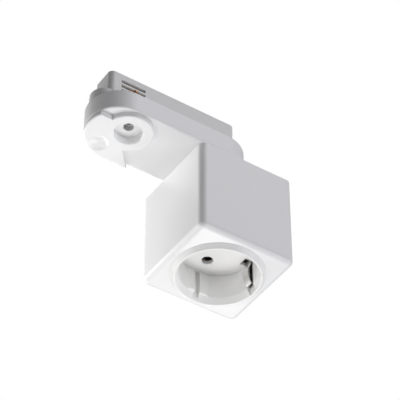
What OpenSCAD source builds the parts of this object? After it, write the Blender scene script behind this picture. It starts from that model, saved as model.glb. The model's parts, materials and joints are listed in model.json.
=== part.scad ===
// Track socket outlet: a side-earthed socket in a white cube, hung under an adapter for a lighting track.
// X runs along the track, Y across it and Z up. The origin is the middle of the adapter's seat on the track.

/* [Adapter base] */
// Length of the adapter along the track
base_l = 90; // [88:1:100]
// Width of the adapter
base_w = 36; // [35:0.5:38]
// Height of the adapter below the track
base_h = 12; // [11.5:0.5:15]
// Side wall of the adapter
base_wall = 2.2; // [2:0.1:2.4]
// Thickness of the adapter's lower wall
base_floor = 2.4; // [2:0.2:2.8]
// Radius of the adapter's lower edge
base_edge_r = 1; // [0.4:0.2:1.2]
// Width of the rim around the contact body's flange
base_rim_w = 1.2; // [1:0.1:1.4]

/* [Cube housing] */
// Length of the cube along the track
cube_l = 56; // [55:1:64]
// Width of the cube across the track
cube_w = 55; // [55:1:64]
// Height of the cube
cube_h = 56; // [52:1:64]
// Radius of the cube's upright edges
cube_edge_r = 3.6; // [3.2:0.2:5]
// Radius of the cube's lower edges
cube_foot_r = 3; // [1.5:0.5:3]
// Side wall of the cube
cube_wall = 2.4; // [2:0.2:2.8]
// Thickness of the cube's lower wall
cube_floor = 2.6; // [2.2:0.2:3.2]
// Length of the adapter that lies above the cube
cube_lap = 34.5; // [34:0.5:36]
// Thickness of the lid that closes the cube
lid_t = 2.4; // [2:0.2:3]

/* [Socket recess] */
// Diameter of the round recess
recess_d = 39.5; // [39:0.1:39.7]
// Depth of the recess below the rim
recess_depth = 18.4; // [18:0.1:18.8]
// Wall of the recess dish
dish_wall = 1.8; // [1.4:0.1:2]
// Thickness of the dish's end wall
dish_floor = 2.4; // [2:0.2:3]
// Diameter of the rim on the cube
rim_d = 48.4; // [48:0.2:49]
// Height of the rim below the cube
rim_t = 2.5; // [2.2:0.1:2.7]
// Diameter where the rim stands out most
rim_crest_d = 44; // [43.8:0.1:44.4]
// Radius that rounds the rim's crest
rim_edge_r = 0.9; // [0.7:0.1:1]
// Depth over which the recess's mouth widens to the rim
mouth_depth = 4; // [3.8:0.1:4.4]
// Distance between the two pin holes
pin_pitch = 19; // [18.8:0.1:19.4]
// Diameter of a pin hole
pin_hole_d = 5.8; // [5.4:0.1:6]
// Distance a guide flat stands in from the wall
flat_depth = 1.2; // [0.8:0.1:1.6]
// Width of the groove along a guide flat
groove_w = 3; // [2.4:0.2:3.4]
// Depth of the groove behind the recess wall
groove_depth = 1; // [0.4:0.1:1]
// Width of the slots for the earth clips
clip_slot_w = 5; // [4.8:0.1:5.6]

/* [Earth bow] */
// Width of the earth bow's strip
clip_w = 3.8; // [3.4:0.1:4.2]
// Thickness of the earth bow's strip
clip_t = 0.8; // [0.6:0.1:1]
// Distance an earth clip bulges in from the recess wall
clip_bulge = 3.3; // [2.8:0.1:3.6]

/* [Pin contacts] */
// Diameter of a plug pin that the contacts grip
plug_pin_d = 4.8; // [4.6:0.1:5]
// Wall of a contact tube
tulip_wall = 0.75; // [0.6:0.05:0.9]
// Length of a contact tube
tulip_l = 17; // [16:0.5:18]
// Length and width of a terminal block
terminal_l = 8; // [7.6:0.2:8.4]
// Width of a terminal block
terminal_w = 6; // [5.6:0.2:6.2]
// Height of a terminal block
terminal_h = 6.5; // [6:0.5:7]
// Height of the insulating carrier
carrier_h = 20; // [19.5:0.5:21]

/* [Contact body in the track] */
// Distance that the neck's ends lie in from the adapter's ends
neck_in = 0.8; // [0.8:0.2:2]
// Width of the neck and the body
neck_w = 15.8; // [15.6:0.1:16]
// Height of the neck, as deep as the track's lips
neck_h = 2.9; // [2.7:0.1:3.1]
// Length of the neck's nose in front of the contact body
nose_l = 6.2; // [4.2:0.2:6.2]
// Height of the contact body above the seat, without its cap
tower_h = 19.4; // [19.2:0.2:21]
// Wall of the contact body
tower_wall = 1.2; // [1:0.1:1.3]
// Radius of the contact body's upright edges
tower_edge_r = 3; // [2.6:0.2:4]
// Height of the nose at the neck's end
nose_h = 7; // [5:0.5:9]
// Thickness of the flange and of the cap
flange_t = 2; // [1.8:0.1:2.2]
// Thickness of the cap
cap_t = 1.6; // [1.4:0.1:2]
// Distance from the middle that the fixed lugs and contacts reach
track_reach = 11.4; // [11:0.1:12]

/* [Locking lever] */
// Distance of the lever's axis in from the adapter's end
axis_in = 20.7; // [20:0.1:21]
// Place of the lever's axis across the track
axis_y = -4.2; // [-4.3:0.1:-4]
// Thickness that the lever stands out below the adapter
lever_t = 3; // [2.6:0.1:3.6]
// Radius of the lever's hub
hub_r = 12.7; // [12.4:0.1:13.6]
// Place across the track of the arm's near edge
arm_near_y = -8.5; // [-9.5:0.5:-7]
// Distance from the adapter's end to the arm's corner on the far side
arm_end_in = 33.1; // [32:0.1:35]
// Angle of the arm's long edge
arm_edge_angle = 50; // [44:1:54]
// Radius of the lever's cup in the adapter
cup_r = 9; // [8.8:0.1:9.2]
// Height of the cup's upper face below the track
cup_top = 6; // [5.6:0.1:6.2]
// Outer radius of the lever's tube
tube_r = 2.9; // [2.8:0.05:2.95]
// Depth of the thumb recess
thumb_depth = 2.1; // [1.6:0.1:2.2]
// Radius of the ball that shapes the thumb recess
thumb_ball_r = 8; // [7:0.5:9]
// Thickness of the locking cam
cam_t = 2.4; // [2:0.1:2.5]

/* [Phase dial] */
// Radius of the dial
dial_r = 7.2; // [6.8:0.1:7.3]
// Thickness of the dial
dial_t = 3.1; // [2.9:0.1:3.2]
// Radius of the flare around the dial
flare_r = 7.7; // [7.5:0.1:8.4]
// Depth of the flare
flare_depth = 0.6; // [0.4:0.1:1]
// Radius of the hole in the middle of the dial
dial_hole_r = 2.6; // [2.2:0.1:2.8]
// Depth of the hole in the middle of the dial
dial_hole_depth = 2.5; // [1.8:0.1:2.5]
// Radius of the bore that goes on into the stem
stem_bore_r = 1; // [0.8:0.1:1.1]
// Radius of the dial's stem
stem_r = 1.9; // [1.8:0.05:1.9]
// Radius of the stem inside the contact sleeve
stem_core_r = 1.2; // [1.1:0.05:1.25]
// Thickness of a contact blade
blade_t = 1.2; // [1:0.1:1.4]
// Width of a contact blade
blade_w = 3; // [2.6:0.1:3.2]

/* [Wires] */
// Diameter of an inner wire
wire_d = 2.4; // [2:0.1:2.6]
// Radius of a wire's bends
wire_bend_r = 3; // [2.8:0.1:3.2]

/* [Screws] */
// Diameter of a screw's shank
screw_d = 2.4; // [2.2:0.1:2.6]
// Diameter of a screw's head
head_d = 4.6; // [4.2:0.1:4.8]
// Height of a screw's head
head_h = 1.6; // [1.4:0.1:1.8]
// Radius of a screw boss
boss_r = 2.8; // [2.6:0.1:2.8]
// Distance of the screws in from the adapter's long sides
side_in = 5.8; // [5.6:0.1:6.2]
// Length of a lid screw
lid_screw_l = 12; // [10:1:14]
// Length of a cap screw
cap_screw_l = 8; // [6:1:9]
// Length of a flange screw
flange_screw_l = 7; // [6:0.5:8]
// Length of the screw that holds the earth bow
strap_screw_l = 8; // [6:1:10]

/* [Fits] */
// Running clearance of a turning piece, on the radius
running_gap = 0.05; // [0.03:0.01:0.08]
// Clearance of a piece that is set into another
seat_gap = 0.15; // [0.1:0.05:0.2]
// Clearance of a hole around a screw or a wire
pass_gap = 0.4; // [0.3:0.05:0.5]

/* [Hidden] */
$fn = 64;
cut = 1;
white = "white";
copper = "peru";
steel = "silver";

base_z = -base_h;
cavity_z = base_z + base_floor;
cube_z = base_z - cube_h;
cube_start = base_l / 2 - cube_lap;
cube_x = cube_start + cube_l / 2;
cube_y = (cube_w - base_w) / 2;
inner_l = cube_l - 2 * cube_wall;
inner_w = cube_w - 2 * cube_wall;
inner_r = cube_edge_r - cube_wall + 0.4;
lid_z = base_z - lid_t;

recess_r = recess_d / 2;
dish_r = recess_r + dish_wall;
floor_z = recess_depth - rim_t;
mouth_z = mouth_depth - rim_t;
rim_land = 0.3;
crest = [rim_crest_d / 2, rim_edge_r - rim_t];
flat_y = recess_r - flat_depth;
dish_top = floor_z + dish_floor;
slot_end_r = recess_r + dish_wall - 0.3;
floor_slot_start = recess_r - 4.6;
post_r = 2.9;
post_h = 8;
post_place = 10;

carrier_z = dish_top;
carrier_top = carrier_z + carrier_h;
carrier_l = 34;
carrier_w = pin_pitch + 20.2;
leg_w = 14;
leg_t = 2.4;
leg_y = inner_w / 2 - seat_gap - leg_t;
leg_bridge_h = 4;
strap_z = carrier_top - clip_t;
terminal_y = pin_pitch / 2 + plug_pin_d / 2 + terminal_w / 2;
terminal_x = -1.2;
terminal_z = carrier_top - 0.6 - terminal_h;
wire_x = terminal_x - 2.2;
screw_x = terminal_x + 1.8;

column_r = 3.2;
column_x = inner_l / 2 - column_r + 0.4;
column_y = inner_w / 2 - column_r + 0.4;
hook_x = inner_l / 4;
hook_w = 8;
hook_t = 1.5;
hook_depth = 1.1;

neck_l = base_l - 2 * neck_in;
tower_l = neck_l - 2 * nose_l;
tower_in_w = neck_w - 2 * tower_wall;
axis_x = axis_in - base_l / 2;
cam_z = neck_h + 0.1;
cam_reach = track_reach + axis_y;
cam_ring_r = tube_r + 0.7;
clip_ring_t = 0.5;
clip_z = cam_z + cam_t + 0.1;
tube_top = cam_z + cam_t + 1;
sleeve_z = tube_top + 0.3;
sleeve_top = tower_h - 0.8;
blade_step = (sleeve_top - sleeve_z - 3.4) / 2.6;
blade_z = [for (i = [0:2]) sleeve_z + 2.2 + i * blade_step];
blade_turn = [-90, -180, -270];
blade_window_w = 2 * sqrt(pow(cam_reach, 2) - pow(tower_in_w / 2 + axis_y, 2)) + 0.8;

lever_z = base_z - lever_t;
cup_web = 1;
dial_top = -cup_top - cup_web;
dial_z = dial_top - dial_t;
stem_bore_depth = 6;
arm_end_x = arm_end_in - base_l / 2;
thumb_at = [axis_x - 9.4, axis_y + 13.9];

screw_r = screw_d / 2;
head_r = head_d / 2;
drive_l = 2.8;
drive_w = 0.6;
drive_depth = 0.9;
hole_r = screw_r + pass_gap;
pilot_r = screw_r + running_gap;
wire_r = wire_d / 2;

strip_t = 0.6;
strip_w = 3.6;
tail_z = -7.6;
wire_z = -5.8;
earth_bend_z = cube_z + carrier_top + wire_bend_r + 2.6;
line_tail_x = axis_x + cam_reach + 5.8;
earth_x = base_l / 2 - 23.5;
neutral_x = earth_x - 25.5;
neutral_half = 9.2;
neutral_tail_x = neutral_x + neutral_half + 2;
neutral_z = 12.4;
earth_half = 8;
earth_z = 5.6;
lug_l = 6;
contact_h = 3.6;
tab_l = 2.4;

passage_w = wire_d + 1.4;
line_y = cube_y - terminal_y;
earth_y = line_y + 6.9;
neutral_y = tower_in_w / 2 + wire_r + 0.2;
passage_y = [line_y - wire_r - 0.8, neutral_y + wire_r + 0.8];
screw_y = base_w / 2 - side_in;
mid_screw_x = axis_x + 17.3;
flange_screws_at = [[axis_x - 9.8, screw_y - 2.5], [mid_screw_x, -screw_y], [mid_screw_x, screw_y],
    [base_l / 2 - boss_r - 1.2, 0]];
joining_screws_at = [for (x = [0, 1], s = [-1, 1]) [cube_start + 6.4 + 11 * x, s * screw_y]];
lid_screws_at = [for (s = [-1, 1]) [cube_x + s * column_x, cube_y + column_y]];
cap_screws_at = [for (s = [-1, 1]) [s * (tower_l / 2 - tower_wall - boss_r + 0.6), 0]];

// Half of a section with its outer lower corner rounded
module edge_profile(r, h, corner_r) {
    translate([0, corner_r]) square([r, h - corner_r]);
    square([r - corner_r, h]);
    intersection() {
        translate([r - corner_r, corner_r]) circle(corner_r);
        translate([r - corner_r, 0]) square(corner_r);
    }
}

// Rectangle with rounded corners
module round_rect(l, w, r) {
    square([l - 2 * r, w], center = true);
    square([l, w - 2 * r], center = true);
    for (x = [-1, 1], y = [-1, 1]) translate([x * (l / 2 - r), y * (w / 2 - r)]) circle(r);
}

// Oblong with two half-round ends
module oblong(l, w) {
    square([l - w, w], center = true);
    for (x = [-1, 1]) translate([x * (l - w) / 2, 0]) circle(w / 2);
}

// Block with rounded upright edges and rounded lower edges
module soft_block(l, w, h, r, foot_r) {
    span_x = l - 2 * r;
    span_y = w - 2 * r;
    for (i = [0:3])
        translate([(i == 0 || i == 3 ? 1 : -1) * span_x / 2, (i < 2 ? 1 : -1) * span_y / 2, 0])
            rotate([0, 0, 90 * i]) rotate_extrude(angle = 90) edge_profile(r, h, foot_r);
    for (m = [0, 1]) {
        mirror([0, m, 0]) translate([-span_x / 2, span_y / 2, 0])
            rotate([90, 0, 90]) linear_extrude(span_x) edge_profile(r, h, foot_r);
        mirror([m, 0, 0]) translate([span_x / 2, span_y / 2, 0])
            rotate([90, 0, 0]) linear_extrude(span_y) edge_profile(r, h, foot_r);
    }
    translate([-span_x / 2, -span_y / 2, 0]) cube([span_x, span_y, h]);
}

// Oblong block with a rounded lower edge
module soft_oblong(l, w, h, foot_r) {
    for (m = [0, 1])
        mirror([m, 0, 0]) translate([(l - w) / 2, 0, 0])
            rotate([0, 0, -90]) rotate_extrude(angle = 180) edge_profile(w / 2, h, foot_r);
    translate([-(l - w) / 2, 0, 0]) rotate([90, 0, 90]) linear_extrude(l - w) {
        edge_profile(w / 2, h, foot_r);
        mirror([1, 0]) edge_profile(w / 2, h, foot_r);
    }
}

// Moves its children to each of the listed places
module at_each(places) {
    for (p = places) translate([p[0], p[1], 0]) children();
}

// Crossed slots for a screwdriver, cut from zero upwards
module drive_slots() {
    for (a = [0, 90]) rotate([0, 0, a]) translate([-drive_l / 2, -drive_w / 2, 0])
        cube([drive_l, drive_w, cut + drive_depth]);
}

// Round-headed screw that points up, with its head's seat at zero
module screw_up(length) {
    difference() {
        union() {
            translate([0, 0, -head_h]) cylinder(r = head_r, h = head_h);
            cylinder(r = screw_r, h = length);
        }
        translate([0, 0, -head_h - cut]) drive_slots();
    }
}

// Flat-headed screw that points down, with its head flush at zero
module screw_down(length) {
    difference() {
        union() {
            translate([0, 0, -head_h]) cylinder(r1 = screw_r, r2 = head_r, h = head_h);
            translate([0, 0, -length]) cylinder(r = screw_r, h = length - head_h / 2);
        }
        translate([0, 0, -drive_depth]) drive_slots();
    }
}

// Hole for a flat-headed screw from above
module sunk_hole(depth) {
    translate([0, 0, -depth - cut]) cylinder(r = hole_r, h = depth + 2 * cut);
    translate([0, 0, -head_h - 0.1]) cylinder(r1 = screw_r + 0.1, r2 = head_r + 0.3, h = head_h + 0.2);
}

// Wire with round bends along straight runs that turn at right angles
module wire(points) {
    last = len(points) - 1;
    for (i = [0:last - 1]) {
        run = points[i + 1] - points[i];
        dir = run / norm(run);
        from = points[i] + dir * (i == 0 ? 0 : wire_bend_r);
        length = norm(run) - (i == 0 ? 0 : wire_bend_r) - (i == last - 1 ? 0 : wire_bend_r);
        turn = abs(dir[2]) > 0.5 ? [dir[2] > 0 ? 0 : 180, 0, 0]
            : abs(dir[0]) > 0.5 ? [0, 90 * dir[0], 0] : [-90 * dir[1], 0, 0];
        translate(from) rotate(turn) cylinder(r = wire_r, h = length);
        if (i < last - 1) {
            next = (points[i + 2] - points[i + 1]) / norm(points[i + 2] - points[i + 1]);
            side = -next;
            up = cross(side, dir);
            middle = points[i + 1] - dir * wire_bend_r + next * wire_bend_r;
            multmatrix([
                [side[0], dir[0], up[0], middle[0]],
                [side[1], dir[1], up[1], middle[1]],
                [side[2], dir[2], up[2], middle[2]],
                [0, 0, 0, 1]
            ]) rotate_extrude(angle = 90) translate([wire_bend_r, 0]) circle(wire_r, $fn = 24);
        }
    }
}

// Bowed contact leaf with flat ends, in plan, bulging towards plus Y
module bowed_leaf(half, reach) {
    inside = tower_in_w / 2 - 0.3;
    rise = reach - inside + strip_t;
    bow_r = (half * half + rise * rise) / (2 * rise);
    intersection() {
        translate([0, reach - bow_r]) difference() {
            circle(bow_r, $fn = 128);
            circle(bow_r - strip_t, $fn = 128);
        }
        translate([-half, inside - strip_t]) square([2 * half, rise + cut]);
    }
    for (s = [-1, 1])
        translate([s * (half - 0.5 + tab_l / 2) - (tab_l + 1.2) / 2, inside - strip_t])
            square([tab_l + 1.2, strip_t]);
}

module socket_housing() {
    color(white) translate([cube_x, cube_y, cube_z]) difference() {
        union() {
            difference() {
                soft_block(cube_l, cube_w, cube_h, cube_edge_r, cube_foot_r);
                translate([0, 0, cube_floor]) linear_extrude(cube_h) round_rect(inner_l, inner_w, inner_r);
            }
            // Columns for the lid's screws
            for (s = [-1, 1]) translate([s * column_x, column_y, cube_floor - 0.5])
                cylinder(r = column_r, h = cube_h - cube_floor - lid_t + 0.5);
            // Upright ribs that the lid rests on
            for (s = [-1, 1], y = [-inner_w / 3, 0])
                translate([s * (inner_l / 2 - 0.6) - 0.8, y - 0.8, cube_floor - 0.5])
                cube([1.6, 1.6, cube_h - cube_floor - lid_t + 0.5]);
            translate([-0.8, -inner_w / 2 - 0.2, cube_h / 2]) cube([1.6, 1.6, cube_h / 2 - lid_t]);
        }
        translate([0, 0, -cut]) cylinder(r = dish_r + seat_gap, h = cube_floor + 2 * cut);
        for (s = [-1, 1]) translate([s * column_x, column_y, cube_h - lid_t - lid_screw_l])
            cylinder(r = pilot_r, h = lid_screw_l + cut);
        // Pockets that hold the lid's two tongues
        for (s = [-1, 1]) translate([s * hook_x, -inner_w / 2 - hook_depth - seat_gap, cube_h - lid_t - 0.1])
            translate([-hook_w / 2 - seat_gap, 0, 0])
            cube([hook_w + 2 * seat_gap, hook_depth + seat_gap + cut, hook_t + 0.2]);
    }
}

module housing_lid() {
    color(white) difference() {
        union() {
            translate([cube_x, cube_y, lid_z]) linear_extrude(lid_t)
                round_rect(inner_l - 2 * seat_gap, inner_w - 2 * seat_gap, inner_r - seat_gap);
            for (s = [-1, 1])
                translate([cube_x + s * hook_x - hook_w / 2, cube_y - inner_w / 2 - hook_depth, lid_z])
                    cube([hook_w, hook_depth + seat_gap + cut, hook_t]);
        }
        translate([0, 0, base_z]) at_each(lid_screws_at) sunk_hole(lid_t);
        at_each(joining_screws_at) translate([0, 0, lid_z - cut]) cylinder(r = hole_r, h = lid_t + 2 * cut);
        wire_passage();
    }
}

// Opening for the wires through the lid and the adapter's lower wall
module wire_passage() {
    translate([cube_x + wire_x - passage_w / 2, passage_y[0], lid_z - cut])
        cube([passage_w, passage_y[1] - passage_y[0], lid_t + base_floor + 2 * cut]);
}

module socket_insert() {
    color(white) translate([cube_x, cube_y, cube_z]) difference() {
        union() {
            rotate_extrude() dish_profile();
            guide_flats();
            carrier_posts();
        }
        for (m = [0, 1]) mirror([0, m, 0])
            translate([-groove_w / 2, flat_y - cut, -rim_t - cut])
                cube([groove_w, cut + flat_depth + groove_depth, rim_t + cut + floor_z - 0.2]);
        for (s = [-1, 1]) {
            clip_slot(s);
            translate([0, s * pin_pitch / 2, floor_z]) {
                translate([0, 0, -cut]) cylinder(d = pin_hole_d, h = dish_floor + 2 * cut);
                translate([0, 0, -0.1]) cylinder(r1 = pin_hole_d / 2 + 0.5, r2 = pin_hole_d / 2 - 0.1, h = 0.6);
            }
        }
    }
}

// Half of the section through the rim and the dish, with the rounded mouth
module dish_profile() {
    inner_foot = [recess_r, mouth_z];
    outer_foot = [rim_d / 2, -rim_land];
    difference() {
        translate([0, mouth_z]) square([dish_r, dish_top - mouth_z]);
        translate([0, mouth_z - cut]) square([recess_r, floor_z - mouth_z + cut]);
    }
    polygon([[recess_r, mouth_z + cut], inner_foot, touch_point(inner_foot, 1), crest,
        touch_point(outer_foot, -1), outer_foot, [rim_d / 2, 0], [dish_r, 0], [dish_r, mouth_z + cut]]);
    translate(crest) circle(rim_edge_r);
}

// End of a straight line from the given foot, just inside the rounded crest
function touch_point(foot, side) =
    let (reach = crest - foot)
    let (inside_r = rim_edge_r - 0.07)
    let (run = sqrt(pow(norm(reach), 2) - pow(inside_r, 2)))
    let (turn = atan2(reach[1], reach[0]) - side * asin(inside_r / norm(reach)))
    foot + run * [cos(turn), sin(turn)];

// Two flats that guide the plug, on the line of the pins
module guide_flats() {
    difference() {
        translate([0, 0, mouth_z - 0.2]) linear_extrude(floor_z - mouth_z + 0.4)
            for (m = [0, 1]) mirror([0, m]) intersection() {
                translate([-recess_r / 2, flat_y]) square([recess_r, flat_depth + 1]);
                circle(recess_r + 0.6);
            }
        translate([0, 0, mouth_z - cut])
            cylinder(r1 = recess_r + cut, r2 = flat_y - 0.2, h = cut + flat_depth + 0.2);
    }
}

// Posts behind the dish that take the carrier's screws
module carrier_posts() {
    for (s = [-1, 1]) translate([s * post_place, -s * post_place, dish_top - 0.5]) difference() {
        cylinder(r = post_r, h = post_h + 0.5);
        translate([0, 0, 1.5]) cylinder(r = pilot_r, h = post_h);
    }
}

// Slot for one earth clip, in the dish's wall and its end wall
module clip_slot(side) {
    mirror([side < 0 ? 1 : 0, 0, 0]) {
        translate([recess_r - 1.5, -clip_slot_w / 2, -rim_t - cut])
            cube([slot_end_r - recess_r + 1.5, clip_slot_w, floor_z + rim_t + cut + 0.1]);
        translate([recess_r - 1.5, -clip_slot_w / 2, cube_floor])
            cube([dish_wall + 2.5, clip_slot_w, floor_z - cube_floor + 0.1]);
        translate([floor_slot_start, -clip_slot_w / 2, floor_z - cut])
            cube([dish_r - floor_slot_start + cut, clip_slot_w, dish_floor + 2 * cut]);
    }
}

module contact_carrier() {
    color("gainsboro") translate([cube_x, cube_y, cube_z]) difference() {
        union() {
            translate([0, 0, carrier_z]) linear_extrude(carrier_h) round_rect(carrier_l, carrier_w, 2);
            // Legs that press the cube's lower wall against the rim
            for (m = [0, 1]) mirror([0, m, 0]) {
                difference() {
                    translate([-leg_w / 2, leg_y, cube_floor])
                        cube([leg_w, leg_t, carrier_z + leg_bridge_h - cube_floor]);
                    cylinder(r = dish_r + seat_gap, h = carrier_z);
                }
                translate([-leg_w / 2, carrier_w / 2 - 1, carrier_z])
                    cube([leg_w, leg_y - carrier_w / 2 + 1.5, leg_bridge_h]);
            }
        }
        for (s = [-1, 1]) {
            translate([s * post_place, -s * post_place, carrier_z - cut]) {
                cylinder(r = post_r + seat_gap, h = cut + post_h + 0.2);
                cylinder(r = hole_r, h = carrier_h + 2 * cut);
                translate([0, 0, cut + post_h + 2.2]) cylinder(r = head_r + pass_gap, h = carrier_h);
            }
            translate([0, s * pin_pitch / 2, carrier_z - cut])
                cylinder(r = plug_pin_d / 2 + tulip_wall + 0.25, h = carrier_h + 2 * cut);
            translate([terminal_x - terminal_l / 2 - seat_gap, s * terminal_y - terminal_w / 2 - seat_gap,
                terminal_z - 0.1])
                cube([terminal_l + 2 * seat_gap, terminal_w + 2 * seat_gap, carrier_h]);
        }
        translate([-carrier_l, -clip_w / 2 - seat_gap, strap_z])
            cube([2 * carrier_l, clip_w + 2 * seat_gap, carrier_h]);
        translate([screw_x, 0, strap_z - strap_screw_l]) cylinder(r = pilot_r, h = carrier_h);
    }
}

module earth_bow() {
    leg_x = recess_r - 1.3;
    bulge_x = recess_r - clip_bulge;
    bow_half = 6.6;
    bow_z = floor_z - bow_half - 0.65;
    rise = leg_x - bulge_x;
    bow_r = (bow_half * bow_half + rise * rise) / (2 * rise);
    color(steel) translate([cube_x, cube_y, cube_z]) difference() {
        translate([0, clip_w / 2, 0]) rotate([90, 0, 0]) linear_extrude(clip_w) {
            for (m = [0, 1]) mirror([m, 0]) {
                // Clip that bulges into the recess
                intersection() {
                    translate([bulge_x + bow_r, bow_z]) difference() {
                        circle(bow_r, $fn = 128);
                        circle(bow_r - clip_t, $fn = 128);
                    }
                    translate([0, bow_z - bow_half]) square([leg_x + clip_t, 2 * bow_half]);
                }
                translate([leg_x, bow_z + bow_half - 0.6])
                    square([clip_t, strap_z + clip_t - bow_z - bow_half + 0.6]);
            }
            translate([-leg_x - clip_t, strap_z]) square([2 * (leg_x + clip_t), clip_t]);
        }
        translate([screw_x, 0, strap_z - cut]) cylinder(r = hole_r, h = clip_t + 2 * cut);
    }
}

// Slotted tube that grips a plug pin, with its terminal block on the outer side
module pin_contact(side) {
    color(copper) translate([cube_x, cube_y + side * pin_pitch / 2, cube_z]) difference() {
        union() {
            translate([0, 0, carrier_z + 0.3]) cylinder(r = plug_pin_d / 2 + tulip_wall, h = tulip_l);
            translate([terminal_x - terminal_l / 2, side * (terminal_y - pin_pitch / 2) - terminal_w / 2,
                terminal_z])
                cube([terminal_l, terminal_w, terminal_h]);
        }
        translate([0, 0, carrier_z + 0.3 - cut])
            cylinder(r = plug_pin_d / 2 + running_gap, h = tulip_l + terminal_h + cut);
        for (a = [0, 90]) rotate([0, 0, a]) translate([-6, -0.3, carrier_z - cut]) cube([12, 0.6, 10 + cut]);
        translate([0, side * (terminal_y - pin_pitch / 2), terminal_z + 1]) {
            translate([wire_x, 0, 0]) cylinder(r = wire_r + seat_gap, h = terminal_h);
            translate([screw_x, 0, 0]) cylinder(r = pilot_r, h = terminal_h);
        }
    }
}

module line_pin_contact() pin_contact(-1);

module neutral_pin_contact() pin_contact(1);

module terminal_screws() {
    color(steel) translate([cube_x, cube_y, cube_z]) {
        for (s = [-1, 1]) translate([screw_x, s * terminal_y, terminal_z + terminal_h])
            mirror([0, 0, 1]) screw_up(terminal_h - 1.5);
        translate([screw_x, 0, strap_z + clip_t]) mirror([0, 0, 1]) screw_up(strap_screw_l);
    }
}

module carrier_screws() {
    color(steel) translate([cube_x, cube_y, cube_z])
        for (s = [-1, 1]) translate([s * post_place, -s * post_place, carrier_z + post_h + 2.2])
            mirror([0, 0, 1]) screw_up(post_h);
}

module lid_screws() {
    color(steel) translate([0, 0, base_z]) at_each(lid_screws_at) screw_down(lid_screw_l);
}

module joining_screws() {
    color(steel) translate([0, 0, lid_z]) at_each(joining_screws_at) screw_up(lid_t + base_floor + 4);
}

module adapter_base() {
    boss_h = base_h - base_floor - flange_t;
    color(white) difference() {
        union() {
            difference() {
                translate([0, 0, base_z]) soft_oblong(base_l, base_w, base_h, base_edge_r);
                translate([0, 0, cavity_z]) linear_extrude(base_h)
                    oblong(base_l - 2 * base_wall, base_w - 2 * base_wall);
                translate([0, 0, -flange_t]) linear_extrude(base_h)
                    oblong(base_l - 2 * base_rim_w, base_w - 2 * base_rim_w);
            }
            // Bearing collar of the lever's cup
            translate([axis_x, axis_y, cavity_z - 0.5])
                cylinder(r = cup_r + 1.6, h = -cup_top - cavity_z + 0.8);
            at_each(concat(flange_screws_at, joining_screws_at))
                translate([0, 0, cavity_z - 0.5]) cylinder(r = boss_r, h = boss_h + 0.5);
        }
        translate([axis_x, axis_y, base_z - cut]) cylinder(r = cup_r + running_gap, h = base_h);
        at_each(flange_screws_at) translate([0, 0, cavity_z]) cylinder(r = pilot_r, h = base_h);
        at_each(joining_screws_at) translate([0, 0, base_z - cut])
            cylinder(r = pilot_r, h = base_floor + 5 + cut);
        wire_passage();
    }
}

module track_body() {
    color("gainsboro") difference() {
        union() {
            translate([0, 0, -flange_t]) linear_extrude(flange_t)
                oblong(base_l - 2 * base_rim_w - 2 * seat_gap, base_w - 2 * base_rim_w - 2 * seat_gap);
            linear_extrude(neck_h) oblong(neck_l, neck_w);
            intersection() {
                linear_extrude(nose_h) oblong(neck_l, neck_w);
                translate([-neck_l / 2, -neck_w / 2, 0]) cube([nose_l + 0.8, neck_w, nose_h]);
            }
            difference() {
                linear_extrude(tower_h) round_rect(tower_l, neck_w, tower_edge_r);
                translate([0, 0, neck_h]) linear_extrude(tower_h)
                    round_rect(tower_l - 2 * tower_wall, tower_in_w, tower_edge_r - tower_wall);
            }
            at_each(cap_screws_at) translate([0, 0, neck_h - 0.5])
                cylinder(r = boss_r, h = tower_h - neck_h + 0.5);
            fixed_lugs();
        }
        translate([axis_x, axis_y, -flange_t - cut]) cylinder(r = tube_r + running_gap, h = tower_h);
        at_each(flange_screws_at) {
            sunk_hole(flange_t);
            cylinder(r = head_r + 0.3, h = neck_h + cut);
        }
        at_each(cap_screws_at) translate([0, 0, tower_h - cap_screw_l])
            cylinder(r = pilot_r, h = cap_screw_l + cut);
        track_body_windows();
        tail_slots();
    }
}

// Lugs on the far side that hold the adapter above the track's lip
module fixed_lugs() {
    for (x = [axis_x, earth_x + earth_half + lug_l / 2 + 1.2])
        translate([x - lug_l / 2, tower_in_w / 2 + 0.2, neck_h])
            cube([lug_l, track_reach - tower_in_w / 2 - 0.2, cam_t]);
}

// Windows for the cam, the blades and the bowed contacts
module track_body_windows() {
    window_y = -neck_w / 2 - cut;
    depth = tower_wall + 1.2;
    translate([axis_x - cam_ring_r - 0.4, window_y, neck_h])
        cube([cam_ring_r + cam_reach + 0.8, depth, clip_z + clip_ring_t + 0.4 - neck_h]);
    for (z = blade_z)
        translate([axis_x - blade_window_w / 2, window_y, z - 0.4])
            cube([blade_window_w, depth, blade_t + 0.8]);
    translate([neutral_x - neutral_half - 0.4, tower_in_w / 2 - 0.2, neutral_z - contact_h / 2 - 0.3])
        cube([2 * neutral_half + 0.8, depth, contact_h + 0.6]);
    for (m = [0, 1]) mirror([0, m, 0])
        translate([earth_x - earth_half - 0.4, tower_in_w / 2 - 0.2, earth_z - contact_h / 2 - 0.3])
            cube([2 * earth_half + 0.8, depth, contact_h + 0.6]);
}

// Slots for the contacts' tails, down through the neck and the flange
module tail_slots() {
    height = neck_h + flange_t + 2 * cut;
    translate([line_tail_x - seat_gap, axis_y - strip_w / 2 - seat_gap, -flange_t - cut])
        cube([strip_t + 2 * seat_gap, strip_w + 2 * seat_gap, height]);
    translate([neutral_tail_x - strip_w / 2 - seat_gap, tower_in_w / 2 - 0.3 - strip_t - seat_gap,
        -flange_t - cut])
        cube([strip_w + 2 * seat_gap, strip_t + 2 * seat_gap, height]);
    translate([earth_x - earth_half - tab_l - seat_gap, earth_y - strip_w / 2 - seat_gap, -flange_t - cut])
        cube([strip_t + 2 * seat_gap, strip_w + 2 * seat_gap, height]);
}

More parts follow.
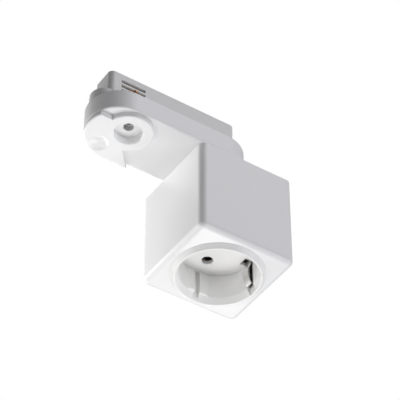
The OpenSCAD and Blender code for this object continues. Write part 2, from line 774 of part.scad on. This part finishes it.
module track_body_cap() {
    color("gainsboro") translate([0, 0, tower_h]) difference() {
        linear_extrude(cap_t) round_rect(tower_l, neck_w, tower_edge_r);
        translate([0, 0, cap_t]) at_each(cap_screws_at) sunk_hole(cap_t);
        translate([axis_x, axis_y, -cut]) cylinder(r = stem_core_r + running_gap, h = cap_t + 2 * cut);
    }
}

module cap_screws() {
    color(steel) translate([0, 0, tower_h + cap_t]) at_each(cap_screws_at) screw_down(cap_screw_l);
}

module flange_screws() {
    color(steel) at_each(flange_screws_at) screw_down(flange_screw_l);
}

module locking_lever() {
    plate_t = lever_t - seat_gap;
    flat_x = tube_r - 0.5;
    color(white) difference() {
        union() {
            translate([axis_x, axis_y, lever_z]) rotate_extrude() edge_profile(hub_r, plate_t, base_edge_r);
            intersection() {
                translate([0, 0, lever_z]) soft_oblong(base_l, base_w, plate_t, base_edge_r);
                translate([0, 0, lever_z - cut]) linear_extrude(plate_t + 2 * cut) arm_outline();
            }
            translate([axis_x, axis_y, lever_z + 1]) cylinder(r = cup_r, h = -cup_top - lever_z - 1);
            translate([axis_x, axis_y, -cup_top - 0.5]) cylinder(r = tube_r, h = tube_top + cup_top + 0.5);
        }
        translate([axis_x, axis_y, 0]) {
            translate([0, 0, lever_z - cut])
                cylinder(r = dial_r + running_gap, h = dial_top - lever_z + cut + 0.1);
            translate([0, 0, lever_z]) cylinder(r1 = flare_r, r2 = dial_r, h = flare_depth);
            translate([0, 0, dial_z]) cylinder(r = stem_r + running_gap, h = tube_top - dial_z + cut);
            // Flat that turns the cam, and the clip's groove
            translate([flat_x, -tube_r, cam_z]) cube([tube_r, 2 * tube_r, cam_t + 0.1]);
            translate([0, 0, clip_z - 0.05]) difference() {
                cylinder(r = tube_r + cut, h = clip_ring_t + 0.1);
                cylinder(r = tube_r - 0.35, h = clip_ring_t + 0.1);
            }
        }
        translate([thumb_at[0], thumb_at[1], lever_z + thumb_depth - thumb_ball_r])
            sphere(thumb_ball_r, $fn = 96);
    }
}

// Plan of the lever's arm, cut from the adapter's round end
module arm_outline() {
    far_y = base_w / 2 + cut;
    end_x = arm_end_x + cut / tan(arm_edge_angle);
    inner_x = end_x - (far_y - axis_y) / tan(arm_edge_angle);
    polygon([[-base_l / 2 - cut, arm_near_y], [inner_x, arm_near_y], [inner_x, axis_y], [end_x, far_y],
        [-base_l / 2 - cut, far_y]]);
}

module locking_cam() {
    color(steel) translate([axis_x, axis_y, cam_z]) difference() {
        union() {
            cylinder(r = cam_ring_r, h = cam_t);
            translate([-2.6, -cam_reach + 2.6, 0]) cube([5.2, cam_reach - 2.6, cam_t]);
            translate([0, -cam_reach + 2.6, 0]) cylinder(r = 2.6, h = cam_t);
        }
        translate([0, 0, -cut]) linear_extrude(cam_t + 2 * cut) difference() {
            circle(tube_r + running_gap);
            translate([tube_r - 0.5 + running_gap, -tube_r - cut]) square(2 * tube_r + 2 * cut);
        }
    }
}

module cam_clip() {
    color(steel) translate([axis_x, axis_y, clip_z]) difference() {
        cylinder(r = cam_ring_r, h = clip_ring_t);
        translate([0, 0, -cut]) cylinder(r = tube_r - 0.3, h = clip_ring_t + 2 * cut);
        translate([-2 * tube_r, -1.4, -cut]) cube([2 * tube_r, 2.8, clip_ring_t + 2 * cut]);
    }
}

module phase_dial() {
    color(white) translate([axis_x, axis_y, 0]) difference() {
        union() {
            translate([0, 0, dial_z]) cylinder(r = dial_r, h = dial_t);
            translate([0, 0, dial_top - 0.5]) cylinder(r = stem_r, h = sleeve_z - dial_top + 0.5);
            translate([0, 0, sleeve_z - 0.5])
                cylinder(r = stem_core_r, h = tower_h + cap_t - 0.3 - sleeve_z + 0.5);
        }
        translate([0, 0, dial_z - cut]) cylinder(r = dial_hole_r, h = dial_hole_depth + cut);
        translate([0, 0, dial_z]) cylinder(r = stem_bore_r, h = stem_bore_depth);
        // Pointer notch on the dial's edge
        translate([-0.6, -dial_r - cut, dial_z - cut]) cube([1.2, cut + 1.4, cut + 1]);
    }
}

// Copper sleeve with a blade for each of the three phases
module contact_sleeve() {
    color(copper) translate([axis_x, axis_y, 0]) difference() {
        union() {
            translate([0, 0, sleeve_z + 0.05]) cylinder(r = stem_r, h = sleeve_top - sleeve_z);
            for (i = [0:2]) translate([0, 0, blade_z[i]]) rotate([0, 0, blade_turn[i]]) {
                translate([0, -blade_w / 2, 0]) cube([cam_reach - blade_w / 2, blade_w, blade_t]);
                translate([cam_reach - blade_w / 2, 0, 0]) cylinder(d = blade_w, h = blade_t);
            }
        }
        translate([0, 0, sleeve_z - cut]) cylinder(r = stem_core_r + running_gap, h = tower_h);
    }
}

// Strip that brings the phase from its wire to the sleeve
module phase_feed_strip() {
    near_x = axis_x + stem_r + seat_gap;
    color(copper) translate([0, axis_y - strip_w / 2, 0]) {
        translate([near_x, 0, sleeve_z + 0.1]) cube([strip_t, strip_w, 1.7]);
        translate([near_x, 0, sleeve_z + 0.1]) cube([line_tail_x + strip_t - near_x, strip_w, strip_t]);
        translate([line_tail_x, 0, tail_z]) cube([strip_t, strip_w, sleeve_z + 0.1 + strip_t - tail_z]);
    }
}

module neutral_track_contact() {
    color(copper) {
        translate([neutral_x, 0, neutral_z - contact_h / 2]) linear_extrude(contact_h)
            bowed_leaf(neutral_half, track_reach);
        translate([neutral_tail_x - strip_w / 2, tower_in_w / 2 - 0.3 - strip_t, tail_z])
            cube([strip_w, strip_t, neutral_z - tail_z]);
    }
}

module earth_track_contact() {
    color(copper) {
        for (m = [0, 1]) mirror([0, m, 0])
            translate([earth_x, 0, earth_z - contact_h / 2]) linear_extrude(contact_h)
                bowed_leaf(earth_half, neck_w / 2 + 1.4);
        translate([earth_x - earth_half - tab_l, -tower_in_w / 2 + 0.3, earth_z - contact_h / 2])
            cube([strip_t, tower_in_w - 0.6, contact_h]);
        translate([earth_x - earth_half - tab_l, earth_y - strip_w / 2, tail_z])
            cube([strip_t, strip_w, earth_z - tail_z]);
    }
}

module line_wire() {
    color("saddlebrown") wire([
        [cube_x + wire_x, line_y, cube_z + terminal_z + 1.5],
        [cube_x + wire_x, line_y, wire_z],
        [line_tail_x + strip_t + 0.2, line_y, wire_z]
    ]);
}

module neutral_wire() {
    bend_z = earth_bend_z + wire_d + 0.8;
    color("steelblue") wire([
        [cube_x + wire_x, cube_y + terminal_y, cube_z + terminal_z + 1.5],
        [cube_x + wire_x, cube_y + terminal_y, bend_z],
        [cube_x + wire_x, neutral_y, bend_z],
        [cube_x + wire_x, neutral_y, wire_z],
        [neutral_tail_x - strip_w / 2, neutral_y, wire_z]
    ]);
}

module earth_wire() {
    color("yellowgreen") wire([
        [cube_x + wire_x, cube_y, cube_z + strap_z + clip_t + 0.1],
        [cube_x + wire_x, cube_y, earth_bend_z],
        [cube_x + wire_x, earth_y, earth_bend_z],
        [cube_x + wire_x, earth_y, wire_z],
        [earth_x - earth_half - tab_l + strip_t + 0.2, earth_y, wire_z]
    ]);
}

socket_housing();
housing_lid();
socket_insert();
contact_carrier();
earth_bow();
line_pin_contact();
neutral_pin_contact();
terminal_screws();
carrier_screws();
lid_screws();
joining_screws();
adapter_base();
track_body();
track_body_cap();
cap_screws();
flange_screws();
locking_lever();
locking_cam();
cam_clip();
phase_dial();
contact_sleeve();
phase_feed_strip();
neutral_track_contact();
earth_track_contact();
line_wire();
neutral_wire();
earth_wire();
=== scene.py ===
import json

import bpy
from mathutils import Matrix, Vector

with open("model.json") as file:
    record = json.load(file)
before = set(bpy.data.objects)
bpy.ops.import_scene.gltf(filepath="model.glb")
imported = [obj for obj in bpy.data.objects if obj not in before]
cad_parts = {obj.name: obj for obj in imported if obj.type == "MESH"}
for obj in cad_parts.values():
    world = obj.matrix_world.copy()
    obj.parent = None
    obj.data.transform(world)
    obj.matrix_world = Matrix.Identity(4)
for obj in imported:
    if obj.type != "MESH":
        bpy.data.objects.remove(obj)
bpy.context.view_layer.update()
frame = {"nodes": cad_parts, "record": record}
record = frame["record"]

MM = 0.001
CAMERA_PLACE = Vector((-0.3669, -0.5874, -0.6810))
CAMERA_AIM = Vector((0.406, 0.614, 0.677))
LENS_PIXELS = 1895
FRAME_PIXELS = 400
SENSOR_MM = 36
FLOOR_Z = -1.3
FLOOR_SIZE = 9.0
AIM_POINT = Vector((0.02, 0.0, -0.03))


# Shader tools

EDGE_CONTRAST = 6.0
BORE_CONTRAST = 6000.0


class Value:
    """A socket that Python's operators join to Math nodes."""

    def __init__(self, finish, socket):
        self.finish = finish
        self.socket = socket

    def math(self, operation, first, second, clamp=False):
        node = self.finish.node("Math", {"operation": operation, "use_clamp": clamp}, {0: first, 1: second})
        return Value(self.finish, node.outputs[0])

    def __add__(self, other):
        return self.math("ADD", self, other)

    __radd__ = __add__

    def __sub__(self, other):
        return self.math("SUBTRACT", self, other)

    def __rsub__(self, other):
        return self.math("SUBTRACT", other, self)

    def __mul__(self, other):
        return self.math("MULTIPLY", self, other)

    __rmul__ = __mul__

    def __pow__(self, other):
        return self.math("POWER", self, other)

    def clamped(self):
        return self.math("ADD", self, 0.0, clamp=True)


class Finish:
    """A material's nodes, made one at a time."""

    def __init__(self, name, tree=None):
        self.material = None
        if tree is None:
            self.material = bpy.data.materials.new(name)
            self.material.use_nodes = True
            tree = self.material.node_tree
        self.tree = tree
        self.tree.nodes.clear()

    def node(self, kind, settings=None, inputs=None):
        node = self.tree.nodes.new("ShaderNode" + kind)
        for key, value in (settings or {}).items():
            setattr(node, key, value)
        for key, value in (inputs or {}).items():
            socket = node.inputs[key]
            if isinstance(value, Value):
                self.tree.links.new(value.socket, socket)
            elif hasattr(value, "__len__") and len(value) == 3 and socket.type == "RGBA":
                socket.default_value = (*value, 1.0)
            else:
                socket.default_value = value
        return node

    def get(self, kind, output, settings=None, inputs=None):
        return Value(self, self.node(kind, settings, inputs).outputs[output])

    def place(self):
        return self.get("TexCoord", "Object")

    def noise(self, scale, detail=2.0, rough=0.5, stretch=(1, 1, 1)):
        place = self.get("Mapping", "Vector", None, {"Vector": self.place(), "Scale": stretch})
        return self.get("TexNoise", "Fac", None,
                        {"Vector": place, "Scale": scale, "Detail": detail, "Roughness": rough})

    def mix(self, factor, first, second):
        return self.get("Mix", 2, {"data_type": "RGBA"}, {0: factor, 6: first, 7: second})

    def rounded_normal(self, radius):
        """The normal, rounded over sharp edges."""
        return self.get("Bevel", "Normal", {"samples": 6}, {"Radius": radius})

    def edge_mask(self, rounded):
        """1 on sharp edges, where the rounded normal leaves the flat one."""
        flat = self.get("NewGeometry", "Normal")
        along = self.get("VectorMath", "Value", {"operation": "DOT_PRODUCT"}, {0: rounded, 1: flat})
        return ((1.0 - along) * EDGE_CONTRAST).clamped()

    def bore_mask(self, axis, radius):
        """1 inside an upright bore about an axis, and 0 outside it."""
        corner = self.node("SeparateXYZ", None, {0: self.place()})
        along = Value(self, corner.outputs[0]) - axis[0]
        across = Value(self, corner.outputs[1]) - axis[1]
        distance = (along * along + across * across) ** 0.5
        return ((radius - distance) * BORE_CONTRAST + 0.5).clamped()

    def bump(self, height, distance, strength, normal):
        return self.get("Bump", "Normal", None,
                        {"Height": height, "Distance": distance, "Strength": strength, "Normal": normal})

    def surface(self, **inputs):
        shader = self.get("BsdfPrincipled", "BSDF", None,
                          {key.replace("_", " "): value for key, value in inputs.items()})
        self.node("OutputMaterial", None, {"Surface": shader})
        return self.material


# Finishes

# painted shade: a grey painted into the dial hole stands in for the shade inside it
BORE_SHADE = (0.52, 0.52, 0.52)
BORE_SHADE_COVER = 0.9
# painted shade: a near-black painted inside the pin bores stands in for the shade deep in them
PIN_BORE_SHADE = (0.10, 0.09, 0.085)
DIAL_HOLE_R = 2.75 * MM
PIN_BORE_R = 2.7 * MM
DIAL_AXES = [joint["pos_m"] for joint in record["behaviour"]["joints"] if joint["name"] == "dial_turn"]
PIN_AXES = [mount["pos_m"] for mount in record["mounts"] if mount["kind"] == "bore"]


def moulded_plastic(name, colour, shade, roughness, grain, depth, shaded_bores=()):
    """Moulded plastic: spark-eroded grain, faint flow marks, polished edges and painted shade in the bores.
    """
    finish = Finish(name)
    rounded = finish.rounded_normal(0.25 * MM)
    edges = finish.edge_mask(rounded)
    flow = finish.noise(28, 3.0, 0.55, (1, 1, 0.5))
    speck = finish.noise(900, 1.0, 0.5)
    fine = finish.noise(grain, 3.0, 0.6)
    tone = (flow * 0.75 + speck * 0.25).clamped()
    base = finish.mix(tone, shade, colour)
    # paint shade into each dial hole, which is dark only from shade
    for axis in shaded_bores:
        base = finish.mix(finish.bore_mask(axis, DIAL_HOLE_R) * BORE_SHADE_COVER, base, BORE_SHADE)
    rub = finish.noise(160, 4.0, 0.65)
    rough = roughness + (flow - 0.5) * 0.12 + (rub - 0.5) * 0.1 - edges * 0.08
    height = fine * 0.8 + finish.noise(grain * 0.35, 2.0, 0.5) * 0.5
    normal = finish.bump(height, depth * MM, 0.6, rounded)
    return finish.surface(Base_Color=base, Roughness=rough.clamped(), Normal=normal,
                          Specular_IOR_Level=0.5, IOR=1.49)


def bright_metal(name, colour, shade, roughness, lines, depth, shaded_pin_bores=()):
    """Rolled or plated metal: fine lines, dull patches, bright edges and painted shade in the bores."""
    finish = Finish(name)
    rounded = finish.rounded_normal(0.12 * MM)
    edges = finish.edge_mask(rounded)
    rolled = finish.noise(lines, 3.0, 0.6, (1, 1, 0.06))
    dull = finish.noise(140, 4.0, 0.6)
    stain = finish.noise(420, 3.0, 0.5)
    tone = (dull * 0.7 + stain * 0.5 - 0.1 + edges * 0.4).clamped()
    base = finish.mix(tone, shade, colour)
    # paint shade inside each pin bore, which is dark only from shade
    for axis in shaded_pin_bores:
        base = finish.mix(finish.bore_mask(axis, PIN_BORE_R), base, PIN_BORE_SHADE)
    rough = roughness + (dull - 0.5) * 0.22 + (rolled - 0.5) * 0.12 - edges * 0.06
    normal = finish.bump(rolled * 0.7 + stain * 0.3, depth * MM, 0.5, rounded)
    return finish.surface(Base_Color=base, Metallic=1.0, Roughness=rough.clamped(), Normal=normal)


def wire_sleeve(name, colour, shade):
    """Soft insulation with a slight sheen and faint print rub."""
    finish = Finish(name)
    rounded = finish.rounded_normal(0.1 * MM)
    streak = finish.noise(600, 3.0, 0.5, (1, 1, 0.1))
    dust = finish.noise(220, 3.0, 0.6)
    base = finish.mix((streak * 0.5 + dust * 0.5).clamped(), shade, colour)
    normal = finish.bump(streak, 0.03 * MM, 0.4, rounded)
    return finish.surface(Base_Color=base, Roughness=(0.38 + (dust - 0.5) * 0.2).clamped(), Normal=normal)


white_shell = moulded_plastic(
    "white_shell", (0.90, 0.90, 0.895), (0.87, 0.87, 0.868), 0.36, 2600, 0.02)
white_insert = moulded_plastic(
    "white_insert", (0.89, 0.888, 0.874), (0.86, 0.858, 0.845), 0.30, 3400, 0.012)
white_controls = moulded_plastic(
    "white_controls", (0.91, 0.91, 0.905), (0.88, 0.88, 0.876), 0.34, 2600, 0.018, DIAL_AXES)
grey_insulator = moulded_plastic(
    "grey_insulator", (0.80, 0.80, 0.79), (0.74, 0.74, 0.73), 0.5, 2200, 0.03)
bare_steel = bright_metal("bare_steel", (0.62, 0.62, 0.63), (0.42, 0.42, 0.43), 0.3, 900, 0.02)
clip_steel = bright_metal("clip_steel", (0.86, 0.85, 0.83), (0.64, 0.63, 0.61), 0.3, 1400, 0.015)
contact_copper = bright_metal(
    "contact_copper", (0.83, 0.48, 0.28), (0.55, 0.28, 0.15), 0.3, 1200, 0.015, PIN_AXES)
brown_wire = wire_sleeve("brown_wire", (0.13, 0.05, 0.025), (0.09, 0.035, 0.018))
blue_wire = wire_sleeve("blue_wire", (0.02, 0.09, 0.34), (0.015, 0.06, 0.24))
green_wire = wire_sleeve("green_wire", (0.17, 0.36, 0.02), (0.12, 0.26, 0.015))

FINISH_OF_SLOT = {
    "white_shell": white_shell, "white_insert": white_insert, "white_controls": white_controls,
    "grey_insulator": grey_insulator, "bare_steel": bare_steel, "clip_steel": clip_steel,
    "contact_copper": contact_copper, "brown_wire": brown_wire, "blue_wire": blue_wire,
    "green_wire": green_wire,
}


# The solids' finishes

for part in record["subparts"]:
    solid = frame["nodes"][part["node"]]
    finish = FINISH_OF_SLOT[part["material_slot"]]
    solid.data.materials.clear()
    solid.data.materials.append(finish)


# Camera

camera_data = bpy.data.cameras.new("camera")
camera_data.sensor_width = SENSOR_MM
camera_data.lens = LENS_PIXELS / FRAME_PIXELS * SENSOR_MM
camera_data.clip_end = 20
camera = bpy.data.objects.new("camera", camera_data)
bpy.context.scene.collection.objects.link(camera)
camera_turn = CAMERA_AIM.to_track_quat("-Z", "Y").to_matrix().to_4x4()
camera.matrix_world = Matrix.Translation(CAMERA_PLACE) @ camera_turn
bpy.context.scene.camera = camera


# Floor and light

def plain_floor():
    """A wide pale floor, well below the part."""
    mesh = bpy.data.meshes.new("floor")
    half = FLOOR_SIZE / 2
    corners = [(x * half, y * half, FLOOR_Z) for x, y in ((-1, -1), (1, -1), (1, 1), (-1, 1))]
    mesh.from_pydata(corners, [], [(0, 1, 2, 3)])
    floor = bpy.data.objects.new("floor", mesh)
    bpy.context.scene.collection.objects.link(floor)
    finish = Finish("floor_paint")
    paint = finish.mix(finish.noise(3, 2.0), (0.84, 0.84, 0.83), (0.88, 0.88, 0.87))
    finish.surface(Base_Color=paint, Roughness=0.7)
    mesh.materials.append(finish.material)


def soft_light(name, direction, distance, size, power, colour=(1, 1, 1)):
    """A round light in the given direction from the part, facing it."""
    light = bpy.data.lights.new(name, "AREA")
    light.shape = "DISK"
    light.size = size
    light.energy = power
    light.color = colour
    lamp = bpy.data.objects.new(name, light)
    bpy.context.scene.collection.objects.link(lamp)
    toward = Vector(direction).normalized()
    lamp.matrix_world = (Matrix.Translation(AIM_POINT + toward * distance)
                         @ (-toward).to_track_quat("-Z", "Y").to_matrix().to_4x4())
    lamp.visible_camera = False


def overhead_light(direction, power, spread, colour):
    """A wide light from above the part: the floor that it brightens lights the part from below."""
    light = bpy.data.lights.new("overhead_light", "SUN")
    light.energy = power
    light.angle = spread
    light.color = colour
    lamp = bpy.data.objects.new("overhead_light", light)
    bpy.context.scene.collection.objects.link(lamp)
    lamp.matrix_world = Vector(direction).to_track_quat("-Z", "Y").to_matrix().to_4x4()


plain_floor()
overhead_light((-0.25, 0.35, -0.9), 1.0, 0.6, (1.0, 1.0, 1.04))
soft_light("side_light", (0.55, -0.78, -0.30), 1.1, 0.8, 5.06, (1.0, 0.997, 1.05))
soft_light("low_light", (0.278, 0.342, -0.898), 0.468, 0.2, 0.439)
soft_light("end_light", (-0.70, 0.70, -0.12), 1.1, 0.7, 2.45)
soft_light("near_end_light", (-0.55, 0.83, 0.05), 0.16, 0.06, 0.139)
soft_light("lever_light", (-0.66, 0.30, -0.68), 0.19, 0.09, 0.0839)
soft_light("recess_light", (0.322, 0.338, -0.885), 0.124, 0.03, 0.0169)

world = bpy.data.worlds.new("studio")
world.use_nodes = True
bpy.context.scene.world = world
sky = Finish("studio", world.node_tree)
room = sky.get("Background", "Background", None, {"Color": (0.995, 0.99, 1.015), "Strength": 0.0885})
seen = sky.get("Background", "Background", None, {"Color": (1.0, 1.0, 1.0), "Strength": 1.0})
choice = sky.get("MixShader", "Shader", None, {0: sky.get("LightPath", "Is Camera Ray"), 1: room, 2: seen})
sky.node("OutputWorld", None, {"Surface": choice})
bpy.context.scene.view_settings.view_transform = "Standard"
